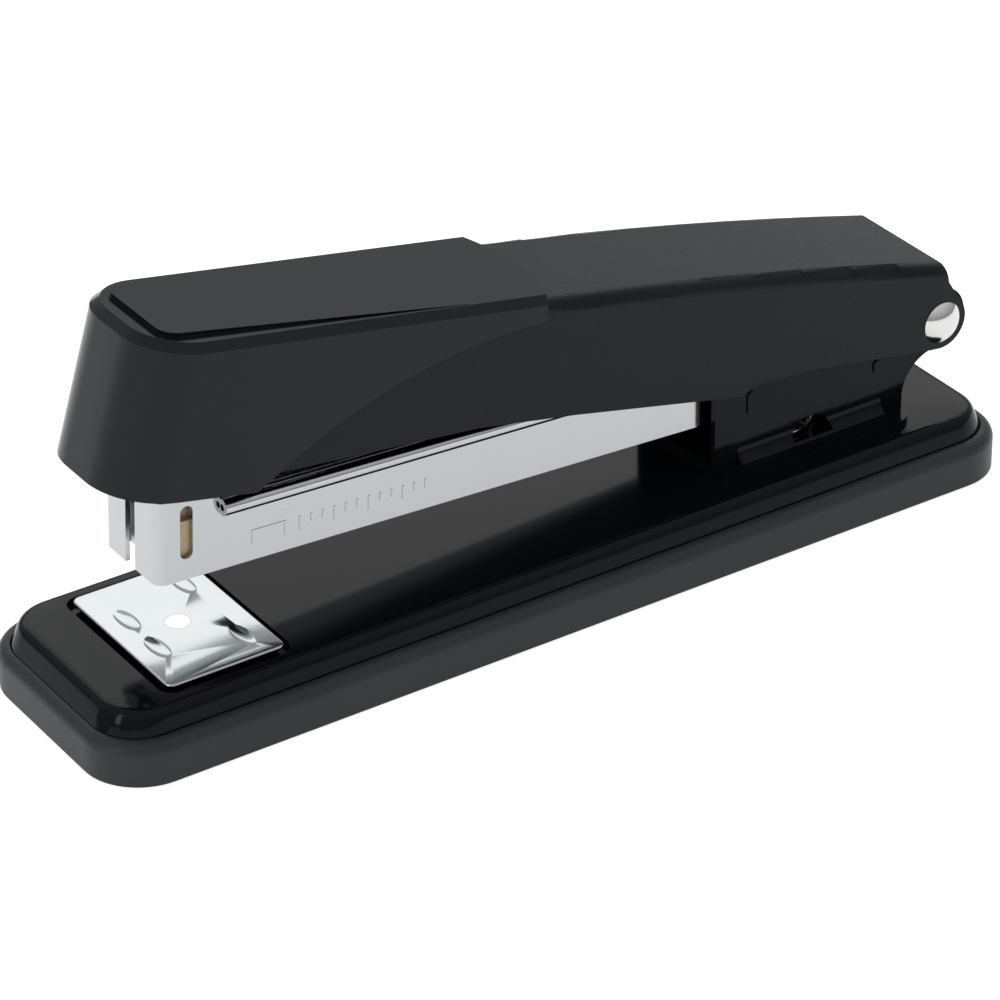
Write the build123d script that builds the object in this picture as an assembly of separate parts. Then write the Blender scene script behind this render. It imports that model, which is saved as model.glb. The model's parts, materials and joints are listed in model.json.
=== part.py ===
"""Full-strip desktop stapler, one STEP per piece.

Frame: +X runs from the nose to the hinge, +Y to the far side, +Z up, in millimetres.
The origin is the centre of the sole's footprint, on the surface that the stapler stands on.
Pieces of the magazine, the staple cover and the driver are drawn in the magazine's own frame,
whose origin is the hinge pin's axis and whose X runs along the magazine, and are then tilted.
"""
from build123d import *
import math
import os

# ---- sole and base plate -------------------------------------------------------------------
SOLE_LENGTH = 157.8
SOLE_WIDTH = 40.9
SOLE_CORNER = 9.2
SOLE_HEIGHT = 6.6
SOLE_FLOOR = 2.0
SOLE_ROUND = 1.9
PLATE_END_INSET = 1.8        # sole end to plate end
PLATE_SIDE_INSET = 2.2
PLATE_CORNER = 7.4
PLATE_TOP = 10.1
PLATE_SHEET = 1.0
PLATE_END_LEAN = 1.6         # how far the sloped skirt moves in above the sole, at the ends
PLATE_SIDE_LEAN = 1.1
PLATE_ROUND = 1.6
SEAT_GAP = 0.1               # clearance of a piece that is laid into another

# ---- anvil ---------------------------------------------------------------------------------
ANVIL_X = -57.0
ANVIL_LENGTH = 19.1
ANVIL_WIDTH = 27.8
ANVIL_SHEET = 0.6
ANVIL_CORNER = 1.3
ANVIL_GAP = 0.05             # anvil underside above the base plate's top
WELL_MARGIN = 1.0
WELL_DEPTH = 1.0
GROOVE_ROW = 5.7             # groove rows before and behind the anvil's centre
GROOVE_IN = 4.3              # half spacing of the closing grooves
GROOVE_OUT = 8.3             # half spacing of the flaring grooves
GROOVE_LENGTH = 7.4
GROOVE_WIDTH = 3.2
GROOVE_DEPTH = 0.4
STEM_HEAD_D = 3.7
STEM_D = 3.0
STEM_FLANGE_D = 7.0
STEM_FLANGE = 0.5
BUTTON_D = 12.0
BUTTON_FLANGE_D = 14.0
BUTTON_FLANGE = 1.0
BUTTON_RECESS = 0.6          # button face above the table
BUSH_D = 6.0
BUSH_LENGTH = 3.0
ANVIL_SPRING_D = 9.0
ANVIL_SPRING_WIRE = 0.6
ANVIL_SPRING_TURNS = 2.8

# ---- hinge ---------------------------------------------------------------------------------
PIN_X = 70.7
PIN_Z = 23.8
PIN_D = 4.0
PIN_FIT = 0.05               # radial running clearance on the pin
PIN_HEAD_D = 6.7
PIN_HEAD = 1.3
SPACER_D = 6.0

# ---- hinge bracket -------------------------------------------------------------------------
BRACKET_FRONT = 29.3
BRACKET_REAR = 64.4          # rear edge of its walls at the base
BRACKET_SHEET = 1.0
BRACKET_GAP = 0.3            # bracket's walls inside the handle
BRACKET_TOP_FRONT = 26.9
BRACKET_EAR_R = 5.2
BRACKET_BEND = 1.0
FOOT_WIDTH = 4.2             # outward foot of the walls at the rear
FOOT_BEND = 2.6              # outside radius where the walls run out into the feet
WINDOW_X = 47.0
WINDOW_LENGTH = 7.6
WINDOW_HEIGHT = 3.6
LUG_PROUD = 0.25
LUG_WIDTH = 1.4
LUG_FRONT = (35.8, 20.5, 4.0)    # X, Z and height of the elongated lug
LUG_REAR = (59.4, 19.2, 2.2)
RIVET_D = 2.6
RIVET_HEAD_D = 4.4
RIVET_HEAD = 0.7

# ---- return spring -------------------------------------------------------------------------
SPRING_X = 46.6
CUP_D = 15.6
CUP_WALL = 0.6
CUP_BOTTOM = 4.2
RETURN_SPRING_D = 13.6
RETURN_SPRING_WIRE = 0.9
RETURN_SPRING_TURNS = 5.5

# ---- magazine, in its own frame ------------------------------------------------------------
MAG_TILT = 2.84              # degrees, nose up at rest
MAG_NOSE = -134.35
MAG_REAR = -12.0
MAG_WIDTH = 14.8
MAG_SHEET = 0.7
MAG_BOTTOM = -8.0
MAG_NOSE_TOP = 4.9
MAG_CORNER = 1.6
LIP_GAP = 2.6
SLOT_X = -129.65
SLOT_WIDTH = 2.0
SLOT_BOTTOM = -4.7
SLOT_TOP = 3.6
BEAD_FRONT = -124.3
BEAD_R = 1.25
BEAD_HOLE_R = 0.5
BEAD_Z = 2.1
DRIVER_GAP = 1.8             # from the lips to the rail's front end
RAIL_WIDTH = 11.2
RAIL_SHEET = 0.8
RAIL_TOP = 0.0
RAIL_REAR = -9.0
RAIL_SLOT = 3.0
ROD_D = 1.6
ROD_Z = -3.75
PUSHER_LENGTH = 9.0
PUSHER_TOP = 2.35
PUSHER_SPRING_D = 4.4
PUSHER_SPRING_ID = 2.8
SADDLE_FRONT = -39.6
SADDLE_SHEET = 0.7
SADDLE_TOP = 0.35
SADDLE_EAR_R = 4.6
SADDLE_RIVETS = (-35.4, -23.4)   # places along the magazine
SADDLE_RIVET_D = 2.2
SADDLE_RIVET_HEAD_D = 3.4
SADDLE_RIVET_HEAD = 0.5
BLOCK_LENGTH = 9.0

# ---- staple cover, in the magazine's frame -------------------------------------------------
COVER_FRONT = -128.5
COVER_WIDTH = 12.8
COVER_SHEET = 0.7
COVER_TOP = 4.65
COVER_BOTTOM = 1.05
COVER_EAR_R = 4.3
CUP2_D = 9.6
CUP2_HEIGHT = 2.2
CUP2_X = -105.5
PRESS_SPRING_D = 8.0
PRESS_SPRING_WIRE = 1.1
PRESS_SPRING_TURNS = 6.5
PLUNGER_HEIGHT = 1.6

# ---- handle and cap ------------------------------------------------------------------------
TOP_Z = 49.3                # height of the handle's top over the origin
TOP_FALL = 10.27              # degrees that it falls towards the hinge there
TOP_R = 829.0               # radius of its long bow
HANDLE_WIDTH = 22.4
HANDLE_SHEET = 1.0
HANDLE_BEND = 2.0
HANDLE_REAR = 71.3
HANDLE_BOSS_R = 4.4
# lower edge of the handle's walls, from the seam to the boss round the pin, as (X, Z)
HANDLE_EDGE = ((-12.8, 32.9), (3.4, 29.7), (33.4, 23.0), (34.8, 24.1), (46.0, 23.4), (57.2, 21.6))
TONGUE_FRONT = -59.5
TONGUE_REAR = 7.0
TONGUE_CORNER = 7.4
CAP_WIDTH = 23.8
CAP_FRONT_TOP = -64.6
CAP_FRONT_BOTTOM = (-71.3, 39.7)
CAP_SIDE_BOTTOM = (-49.8, 35.2)
SEAM_FRONT = (-46.8, 36.8)
SEAM_MID = (-26.5, 44.8)
SEAM_REAR = (-4.6, 47.0)
SEAM_END = -1.6
SEAM_BULGE = 2.6
CAP_CORNER = 9.0
CAP_EDGE_Z = 49.1            # height over the origin of the upper edge of the cap's sides
CAP_EDGE_SLOPE = 0.1765
CAP_SHOULDER = 1.2           # bevel between the cap's sides and its top
CAP_STOCK = 6.0              # the cap is cut to the seam from stock that ends here
PAD_PROUD = 0.7              # raised pad above the cap's top, at the nose
PAD_INSET = 3.6              # cap's side to the pad, at the nose
PAD_FRONT = -61.0
PAD_REAR = -14.0             # the pad runs out level with the cap's top here
PAD_CORNER = 2.6
BLADE_WIDTH = 11.8
BLADE_SHEET = 0.6
BLADE_BOTTOM = 1.8
BLADE_FRONT = 0.8            # blade's front face behind the lips
BLADE_TOP = 20.9
HOLDER_SHEET = 0.8
HOLDER_WIDTH = 11.4
HOLDER_BOTTOM = 12.7
HOLDER_FLANGE = 13.0
DRIVER_RIVETS = (14.6, 18.6)     # heights over the hinge's level
DRIVER_RIVET_D = 2.2
DRIVER_RIVET_HEAD_D = 3.6
DRIVER_RIVET_HEAD = 0.7

# ---- worked out ----------------------------------------------------------------------------
PLATE_LENGTH = SOLE_LENGTH - 2 * PLATE_END_INSET
PLATE_WIDTH = SOLE_WIDTH - 2 * PLATE_SIDE_INSET
HANDLE_IN = HANDLE_WIDTH / 2 - HANDLE_SHEET
BRACKET_OUT = HANDLE_IN - BRACKET_GAP
BRACKET_IN = BRACKET_OUT - BRACKET_SHEET
FLOOR_TOP = PLATE_TOP + BRACKET_SHEET
MAG_OUT = MAG_WIDTH / 2
MAG_IN = MAG_OUT - MAG_SHEET
MAG_FLOOR = MAG_BOTTOM + MAG_SHEET
LIP_BACK = MAG_NOSE + MAG_SHEET
RAIL_FRONT = LIP_BACK + DRIVER_GAP
SADDLE_IN = MAG_OUT + SEAT_GAP
SADDLE_OUT = SADDLE_IN + SADDLE_SHEET
BEAD_Y = MAG_IN + BEAD_R
BEAD_REAR = SADDLE_FRONT - 2.5
PIN_HOLE_D = PIN_D + 2 * PIN_FIT
ANVIL_BOTTOM = PLATE_TOP + ANVIL_GAP
ANVIL_TOP = ANVIL_BOTTOM + ANVIL_SHEET
CAP_WALL = CAP_WIDTH / 2 - HANDLE_IN - SEAT_GAP
TOP_CENTRE_X = -TOP_R * math.sin(math.radians(TOP_FALL))
TOP_CENTRE_Z = TOP_Z - TOP_R * math.cos(math.radians(TOP_FALL))


# ---- helpers -------------------------------------------------------------------------------
def block(x, y, z):
    """Box between the given (low, high) pairs."""
    size = [b - a for a, b in (x, y, z)]
    middle = [(a + b) / 2 for a, b in (x, y, z)]
    return Pos(*middle) * Box(*size)


def rod_z(x, y, z, d):
    """Upright cylinder at (x, y), between the heights in z."""
    return Pos(x, y, (z[0] + z[1]) / 2) * Cylinder(d / 2, z[1] - z[0])


def rod_y(x, z, y, d):
    """Cylinder along Y through (x, z), between the places in y."""
    return Pos(x, (y[0] + y[1]) / 2, z) * Rot(90, 0, 0) * Cylinder(d / 2, y[1] - y[0])


def slab(outline, y):
    """Face drawn in (x, z), thickened between the places in y."""
    return Pos(0, y[1], 0) * extrude(Plane.XZ * outline, y[1] - y[0])


def rounded_box(length, width, corner, z, x=0.0):
    """Upright box with rounded corners, centred on X = x and Y = 0."""
    return Pos(x, 0, z[0]) * extrude(RectangleRounded(length, width, corner), z[1] - z[0])


def in_magazine(shape):
    """Place a piece drawn in the magazine's frame."""
    return Location((PIN_X, 0, PIN_Z), (0, MAG_TILT, 0)) * shape


def coil(d, wire, turns, z, x, y=0.0):
    """Round-wire compression spring standing at (x, y) between the heights in z."""
    rise = z[1] - z[0] - wire
    radius = (d - wire) / 2
    path = Helix(rise / turns, rise, radius)
    section = Plane(path @ 0, z_dir=path % 0) * Circle(wire / 2)
    return Pos(x, y, z[0] + wire / 2) * sweep(section, path, is_frenet=True)


def top_height(x):
    """Height of the handle's top over x."""
    return TOP_CENTRE_Z + math.sqrt(TOP_R ** 2 - (x - TOP_CENTRE_X) ** 2)


def top_curve(x0, x1, drop=0.0):
    """The handle's bowed top line between x0 and x1, lowered by drop."""
    xs = (x0, (x0 + x1) / 2, x1)
    return ThreePointArc(*[(x, top_height(x) - drop) for x in xs])


def save(name, shape):
    export_step(shape, "parts/" + name + ".step")


# ---- base ----------------------------------------------------------------------------------
def plate_body(inset, top, z0):
    """The pressed plate's outside, or its inside when it is inset by the sheet."""
    length = PLATE_LENGTH - 2 * inset
    width = PLATE_WIDTH - 2 * inset
    corner = PLATE_CORNER - inset
    low = rounded_box(length, width, corner, (z0, SOLE_HEIGHT))
    foot = Pos(0, 0, SOLE_HEIGHT) * RectangleRounded(length, width, corner)
    lean_x, lean_y = 2 * PLATE_END_LEAN, 2 * PLATE_SIDE_LEAN
    head = Pos(0, 0, top) * RectangleRounded(length - lean_x, width - lean_y, corner - PLATE_SIDE_LEAN)
    return low + loft([foot, head])


def sole():
    body = rounded_box(SOLE_LENGTH, SOLE_WIDTH, SOLE_CORNER, (0, SOLE_HEIGHT))
    body = fillet(body.edges().group_by(Axis.Z)[-1], SOLE_ROUND)
    pocket = rounded_box(PLATE_LENGTH + 2 * SEAT_GAP, PLATE_WIDTH + 2 * SEAT_GAP, PLATE_CORNER + SEAT_GAP,
                         (SOLE_FLOOR, SOLE_HEIGHT + 1))
    hole = rod_z(ANVIL_X, 0, (-1, SOLE_FLOOR + 1), BUTTON_D + 0.8)
    return body - pocket - hole


def base_plate():
    body = plate_body(0, PLATE_TOP, SOLE_FLOOR)
    body = fillet(body.edges().group_by(Axis.Z)[-1], PLATE_ROUND)
    body -= plate_body(PLATE_SHEET, PLATE_TOP - PLATE_SHEET, SOLE_FLOOR - 1)
    well_length = ANVIL_LENGTH + 2 * WELL_MARGIN
    well_width = ANVIL_WIDTH + 2 * WELL_MARGIN
    well_corner = ANVIL_CORNER + WELL_MARGIN
    under = (PLATE_TOP - WELL_DEPTH - PLATE_SHEET, PLATE_TOP - PLATE_SHEET)
    body += rounded_box(well_length + 2, well_width + 2, well_corner + 1, under, ANVIL_X)
    body -= rounded_box(well_length, well_width, well_corner, (PLATE_TOP - WELL_DEPTH, PLATE_TOP + 1), ANVIL_X)
    body -= rod_z(ANVIL_X, 0, (0, PLATE_TOP + 1), BUSH_D)
    body -= rod_z(SPRING_X, 0, (0, PLATE_TOP + 1), CUP_D)
    for x, y in bracket_rivet_places():
        body -= rod_z(x, y, (0, PLATE_TOP + 1), RIVET_D)
    return body


def bracket_rivet_places():
    side = BRACKET_IN - RIVET_HEAD_D / 2 - BRACKET_BEND
    return [(x, s * side) for x in (BRACKET_FRONT + 3.4, BRACKET_REAR - 3.4) for s in (-1, 1)]


def bracket_outline():
    """Side view of the bracket's wall, from the base up to the ear round the pin."""
    ear = (PIN_X - BRACKET_EAR_R * 0.5, PIN_Z + BRACKET_EAR_R * 0.866)
    ear_end = (PIN_X - BRACKET_EAR_R * 0.26, PIN_Z - BRACKET_EAR_R * 0.966)
    rear_knee = (BRACKET_REAR + 1.6, PLATE_TOP + 6.6)
    lines = Polyline((BRACKET_FRONT, PLATE_TOP), (BRACKET_FRONT, BRACKET_TOP_FRONT), ear)
    lines += ThreePointArc(ear, (PIN_X + BRACKET_EAR_R, PIN_Z), ear_end)
    lines += ThreePointArc(ear_end, rear_knee, (BRACKET_REAR, PLATE_TOP + 2))
    lines += Polyline((BRACKET_REAR, PLATE_TOP + 2), (BRACKET_REAR, PLATE_TOP), (BRACKET_FRONT, PLATE_TOP))
    return make_face(lines)


def hinge_bracket():
    body = slab(bracket_outline(), (-BRACKET_OUT, BRACKET_OUT))
    body -= block((0, 100), (-BRACKET_IN, BRACKET_IN), (FLOOR_TOP, 100))
    for s in (-1, 1):
        plan = RectangleRounded(BRACKET_REAR - BRACKET_FRONT, 2 * FOOT_WIDTH, FOOT_WIDTH - 0.2)
        foot = Pos((BRACKET_FRONT + BRACKET_REAR) / 2, s * BRACKET_OUT, PLATE_TOP) * extrude(plan, BRACKET_SHEET)
        body += foot - block((0, 100), (-BRACKET_IN, BRACKET_IN), (PLATE_TOP, FLOOR_TOP + 1))
        body += foot_bend(s)
        for x, z, height in (LUG_FRONT, LUG_REAR):
            lug = Plane.XZ * SlotOverall(max(height, LUG_WIDTH + 0.2), LUG_WIDTH, rotation=90)
            lug = Pos(x, s * (BRACKET_OUT + (LUG_PROUD if s > 0 else 0)), z) * extrude(lug, LUG_PROUD)
            body += lug
    window = Pos(WINDOW_X, BRACKET_OUT + 1, FLOOR_TOP)
    window *= extrude(Plane.XZ * SlotOverall(WINDOW_LENGTH, 2 * WINDOW_HEIGHT), 2 * BRACKET_OUT + 2)
    body -= window - block((0, 100), (-30, 30), (0, FLOOR_TOP - 0.4))
    body -= rod_z(SPRING_X, 0, (0, FLOOR_TOP + 1), CUP_D - 2 * CUP_WALL)
    body -= rod_y(PIN_X, PIN_Z, (-20, 20), PIN_D)
    for x, y in bracket_rivet_places():
        body -= rod_z(x, y, (0, FLOOR_TOP + 1), RIVET_D)
    return body


def foot_bend(side):
    """Bend that leads a wall of the bracket out into its foot."""
    x0, x1 = BRACKET_FRONT + FOOT_WIDTH, BRACKET_REAR - FOOT_WIDTH
    corner = block((x0, x1), (BRACKET_OUT, BRACKET_OUT + FOOT_BEND), (FLOOR_TOP, FLOOR_TOP + FOOT_BEND))
    corner -= Pos((x0 + x1) / 2, BRACKET_OUT + FOOT_BEND, FLOOR_TOP + FOOT_BEND) * Rot(0, 90, 0) \
        * Cylinder(FOOT_BEND, x1 - x0)
    return corner if side > 0 else mirror(corner, Plane.XZ)


def bracket_rivets():
    rivets = []
    for x, y in bracket_rivet_places():
        rivet = rod_z(x, y, (PLATE_TOP - PLATE_SHEET - RIVET_HEAD, FLOOR_TOP + RIVET_HEAD), RIVET_D)
        rivet += rod_z(x, y, (FLOOR_TOP, FLOOR_TOP + RIVET_HEAD), RIVET_HEAD_D)
        rivet += rod_z(x, y, (PLATE_TOP - PLATE_SHEET - RIVET_HEAD, PLATE_TOP - PLATE_SHEET), RIVET_HEAD_D)
        rivets.append(rivet)
    return Compound(children=rivets)


def spring_cup():
    body = rod_z(SPRING_X, 0, (CUP_BOTTOM, PLATE_TOP), CUP_D)
    return body - rod_z(SPRING_X, 0, (CUP_BOTTOM + CUP_WALL, PLATE_TOP + 1), CUP_D - 2 * CUP_WALL)


def saddle_underside(x):
    """Height of the saddle's underside over x, at rest."""
    low = MAG_BOTTOM - SADDLE_SHEET
    tilt = math.radians(MAG_TILT)
    return PIN_Z + low / math.cos(tilt) - (x - PIN_X) * math.tan(tilt)


def return_spring():
    low = CUP_BOTTOM + CUP_WALL
    high = saddle_underside(SPRING_X + RETURN_SPRING_D / 2)
    return coil(RETURN_SPRING_D, RETURN_SPRING_WIRE, RETURN_SPRING_TURNS, (low, high), SPRING_X)


def hinge_pin():
    end = HANDLE_WIDTH / 2 + SEAT_GAP
    body = rod_y(PIN_X, PIN_Z, (-end, end), PIN_D)
    ball_r = (PIN_HEAD_D ** 2 / 4 + PIN_HEAD ** 2) / (2 * PIN_HEAD)
    for s in (-1, 1):
        ball = Pos(PIN_X, s * (end + PIN_HEAD - ball_r), PIN_Z) * Sphere(ball_r)
        outside = sorted((s * end, s * (end + 10)))
        body += ball & block((0, 100), tuple(outside), (0, 60))
    return body


def pin_spacers():
    """Tubes that keep the saddle in the middle of the bracket."""
    tubes = []
    for s in (-1, 1):
        span = sorted((s * (SADDLE_OUT + SEAT_GAP), s * BRACKET_IN))
        tubes.append(rod_y(PIN_X, PIN_Z, span, SPACER_D) - rod_y(PIN_X, PIN_Z, span, PIN_D))
    return Compound(children=tubes)


# ---- anvil ---------------------------------------------------------------------------------
def anvil_plate():
    body = rounded_box(ANVIL_LENGTH, ANVIL_WIDTH, ANVIL_CORNER, (ANVIL_BOTTOM, ANVIL_TOP), ANVIL_X)
    body = fillet(body.edges().group_by(Axis.Z)[-1], 0.3)
    for row, half in ((-GROOVE_ROW, GROOVE_IN), (GROOVE_ROW, GROOVE_OUT)):
        for s in (-1, 1):
            bowl = scale(Sphere(1), (GROOVE_WIDTH / 2, GROOVE_LENGTH / 2, 2 * GROOVE_DEPTH))
            body -= Pos(ANVIL_X + row, s * half, ANVIL_TOP + GROOVE_DEPTH) * bowl
    body -= rod_z(ANVIL_X, 0, (0, 20), STEM_D + 2 * PIN_FIT)
    return body - rod_z(ANVIL_X, 0, (ANVIL_TOP - ANVIL_SHEET / 2, 20), STEM_HEAD_D + 2 * PIN_FIT)


def anvil_stem():
    low = BUTTON_RECESS + 1.0
    body = rod_z(ANVIL_X, 0, (low, ANVIL_TOP), STEM_D)
    body += rod_z(ANVIL_X, 0, (ANVIL_TOP - ANVIL_SHEET / 2 + 0.02, ANVIL_TOP), STEM_HEAD_D)
    return body + rod_z(ANVIL_X, 0, (ANVIL_BOTTOM - 0.03 - STEM_FLANGE, ANVIL_BOTTOM - 0.03), STEM_FLANGE_D)


def anvil_button():
    seat = SOLE_FLOOR + 0.3
    body = rod_z(ANVIL_X, 0, (BUTTON_RECESS, seat), BUTTON_D)
    body = fillet(body.edges().group_by(Axis.Z)[0], 0.5)
    body += rod_z(ANVIL_X, 0, (seat, seat + BUTTON_FLANGE), BUTTON_FLANGE_D)
    return body - rod_z(ANVIL_X, 0, (BUTTON_RECESS + 1.0, 9), STEM_D)


def anvil_bush():
    high = PLATE_TOP - WELL_DEPTH
    body = rod_z(ANVIL_X, 0, (high - BUSH_LENGTH, high), BUSH_D)
    return body - rod_z(ANVIL_X, 0, (0, 20), STEM_D + 2 * PIN_FIT)


def anvil_spring():
    low = SOLE_FLOOR + 0.3 + BUTTON_FLANGE
    high = PLATE_TOP - WELL_DEPTH - PLATE_SHEET
    return coil(ANVIL_SPRING_D, ANVIL_SPRING_WIRE, ANVIL_SPRING_TURNS, (low, high), ANVIL_X)


# ---- magazine ------------------------------------------------------------------------------
def magazine_channel():
    nose = slab(make_face(Polyline((MAG_NOSE, MAG_BOTTOM), (MAG_NOSE, MAG_NOSE_TOP),
                                   (BEAD_FRONT + 2, MAG_NOSE_TOP), (BEAD_FRONT + 2, BEAD_Z),
                                   (MAG_REAR, BEAD_Z), (MAG_REAR, MAG_BOTTOM), close=True)),
                (-MAG_OUT, MAG_OUT))
    front = nose.edges().filter_by(Axis.Z).group_by(Axis.X)[0]
    body = fillet(front, MAG_CORNER)
    inside = block((LIP_BACK, 0), (-MAG_IN, MAG_IN), (MAG_FLOOR, 20))
    inside = fillet(inside.edges().filter_by(Axis.Z).group_by(Axis.X)[0], MAG_CORNER - MAG_SHEET)
    body -= inside
    body -= block((LIP_BACK, RAIL_FRONT + 1.2), (-MAG_IN, MAG_IN), (MAG_BOTTOM - 1, MAG_FLOOR + 1))
    body -= block((MAG_NOSE - 1, LIP_BACK + 1), (-LIP_GAP / 2, LIP_GAP / 2), (MAG_BOTTOM - 1, 20))
    slot = Plane.XZ * SlotOverall(SLOT_TOP - SLOT_BOTTOM, SLOT_WIDTH, rotation=90)
    body -= Pos(SLOT_X, 20, (SLOT_TOP + SLOT_BOTTOM) / 2) * extrude(slot, 40)
    for s in (-1, 1):
        bead = Pos((BEAD_FRONT + BEAD_REAR) / 2, s * BEAD_Y, BEAD_Z) * Rot(0, 90, 0)
        length = BEAD_REAR - BEAD_FRONT
        body += bead * Cylinder(BEAD_R, length) - bead * Cylinder(BEAD_HOLE_R, length)
        body -= bead * Cylinder(BEAD_HOLE_R, length)
    body += stamped_marks()
    return body - saddle_rivet_holes()


def stamped_marks():
    """A staple outline and a row of length ticks, raised on the near wall."""
    y = (-MAG_OUT - 0.1, -MAG_OUT)
    left, right, high, leg = -119.2, -113.6, -3.2, 2.2
    marks = block((left, right), y, (high - 0.3, high))
    marks += block((left, left + 0.3), y, (high - leg, high))
    marks += block((right - 0.3, right), y, (high - leg, high))
    for i in range(12):
        x = -111.5 + 1.9 * i
        marks += block((x, x + 0.3), y, (high - (2.2 if i % 3 == 0 else 1.3), high))
    return marks


def staple_rail():
    half = RAIL_WIDTH / 2
    body = block((RAIL_FRONT, RAIL_REAR), (-half, half), (MAG_FLOOR, RAIL_TOP))
    body -= block((RAIL_FRONT - 1, 0), (-half + RAIL_SHEET, half - RAIL_SHEET), (MAG_FLOOR - 1, RAIL_TOP - RAIL_SHEET))
    run = (RAIL_FRONT + 2, RAIL_REAR - BLOCK_LENGTH)
    return body - block(run, (-RAIL_SLOT / 2, RAIL_SLOT / 2), (RAIL_TOP - 2, RAIL_TOP + 1))


def rear_block():
    half = RAIL_WIDTH / 2 - RAIL_SHEET - SEAT_GAP
    body = block((RAIL_REAR - BLOCK_LENGTH, RAIL_REAR), (-half, half), (MAG_FLOOR, RAIL_TOP - RAIL_SHEET - SEAT_GAP))
    return body - Pos(RAIL_REAR - BLOCK_LENGTH, 0, ROD_Z) * Rot(0, 90, 0) * Cylinder(ROD_D / 2, 12)


def guide_rod():
    x0, x1 = RAIL_FRONT + 1.0, RAIL_REAR - BLOCK_LENGTH + 6.0
    body = Pos((x0 + x1) / 2, 0, ROD_Z) * Rot(0, 90, 0) * Cylinder(ROD_D / 2, x1 - x0)
    return body


def rod_stop():
    """Plate across the rail's front end that holds the guide rod."""
    half = RAIL_WIDTH / 2 - RAIL_SHEET - SEAT_GAP
    x = (RAIL_FRONT + 0.2, RAIL_FRONT + 1.4)
    body = block(x, (-half, half), (MAG_FLOOR, RAIL_TOP - RAIL_SHEET - SEAT_GAP))
    return body - Pos(x[1], 0, ROD_Z) * Rot(0, 90, 0) * Cylinder(ROD_D / 2, 0.8)


def pusher():
    """Saddle over the rail with a tongue through its slot, on the guide rod."""
    half = MAG_IN - 0.25
    x = (RAIL_FRONT, RAIL_FRONT + PUSHER_LENGTH)
    body = block(x, (-half, half), (MAG_FLOOR + 0.2, COVER_BOTTOM - 0.3))
    body += block(x, (-COVER_WIDTH / 2 + COVER_SHEET + 0.3, COVER_WIDTH / 2 - COVER_SHEET - 0.3), (-1, PUSHER_TOP))
    body -= block((x[0] - 1, x[1] + 1), (-RAIL_WIDTH / 2 - 0.2, RAIL_WIDTH / 2 + 0.2), (-10, RAIL_TOP + 0.3))
    tongue_x = (x[0] + 2.6, x[1] - 0.6)
    body += block(tongue_x, (-1.1, 1.1), (ROD_Z, RAIL_TOP + 1))
    body += block(tongue_x, (-2.6, 2.6), (ROD_Z - 2.2, ROD_Z + 2.2))
    return body - Pos(x[0], 0, ROD_Z) * Rot(0, 90, 0) * Cylinder(ROD_D / 2 + PIN_FIT, 40)


def pusher_spring():
    x0, x1 = RAIL_FRONT + PUSHER_LENGTH - 0.6, RAIL_REAR - BLOCK_LENGTH
    place = Pos((x0 + x1) / 2, 0, ROD_Z) * Rot(0, 90, 0)
    return place * Cylinder(PUSHER_SPRING_D / 2, x1 - x0) - place * Cylinder(PUSHER_SPRING_ID / 2, x1 - x0)


def magazine_saddle():
    """U-shaped carrier round the rear of the magazine, with ears on the hinge pin."""
    low = MAG_BOTTOM - SADDLE_SHEET
    knee = -SADDLE_EAR_R * 2.4
    lines = Polyline((SADDLE_FRONT, low + 2), (SADDLE_FRONT, SADDLE_TOP), (knee, SADDLE_TOP),
                     (-SADDLE_EAR_R * 0.64, SADDLE_EAR_R * 0.77))
    lines += ThreePointArc((-SADDLE_EAR_R * 0.64, SADDLE_EAR_R * 0.77), (SADDLE_EAR_R, 0),
                           (SADDLE_EAR_R * 0.34, -SADDLE_EAR_R * 0.94))
    lines += Polyline((SADDLE_EAR_R * 0.34, -SADDLE_EAR_R * 0.94), (-7.0, low), (SADDLE_FRONT + 2, low),
                      (SADDLE_FRONT, low + 2))
    body = slab(make_face(lines), (-SADDLE_OUT, SADDLE_OUT))
    body -= block((SADDLE_FRONT - 1, 20), (-SADDLE_IN, SADDLE_IN), (MAG_BOTTOM, 20))
    body -= block((-6.5, 20), (-SADDLE_IN, SADDLE_IN), (-20, 20))
    body -= saddle_rivet_holes()
    return body - rod_y(0, 0, (-20, 20), PIN_HOLE_D)


def saddle_rivets():
    """Rivets that hold the saddle under the magazine."""
    low, high = MAG_BOTTOM - SADDLE_SHEET, MAG_FLOOR
    rivets = []
    for x in SADDLE_RIVETS:
        rivet = rod_z(x, 0, (low, high), SADDLE_RIVET_D)
        rivet += rod_z(x, 0, (high, high + SADDLE_RIVET_HEAD), SADDLE_RIVET_HEAD_D)
        rivet += rod_z(x, 0, (low - SADDLE_RIVET_HEAD, low), SADDLE_RIVET_HEAD_D)
        rivets.append(rivet)
    return Compound(children=rivets)


def saddle_rivet_holes():
    holes = [rod_z(x, 0, (-20, 0), SADDLE_RIVET_D) for x in SADDLE_RIVETS]
    return holes[0] + holes[1]


# ---- staple cover --------------------------------------------------------------------------
def staple_cover():
    half = COVER_WIDTH / 2
    body = block((COVER_FRONT, -COVER_EAR_R), (-half, half), (COVER_BOTTOM, COVER_TOP))
    body += rod_y(0, 0, (-half, half), 2 * COVER_EAR_R)
    body += block((-COVER_EAR_R - 0.1, 0), (-half, half), (COVER_BOTTOM, COVER_TOP))
    inner = half - COVER_SHEET
    body -= block((COVER_FRONT - 1, 20), (-inner, inner), (-20, COVER_TOP - COVER_SHEET))
    body -= block((-SPACER_D / 2 - 0.3, 20), (-inner, inner), (-20, 20))
    return body - rod_y(0, 0, (-20, 20), PIN_HOLE_D)


def cover_bush():
    """Tube on the pin that keeps the cover's ears apart."""
    half = COVER_WIDTH / 2 - COVER_SHEET - PIN_FIT
    return rod_y(0, 0, (-half, half), SPACER_D) - rod_y(0, 0, (-half, half), PIN_D)


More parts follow.
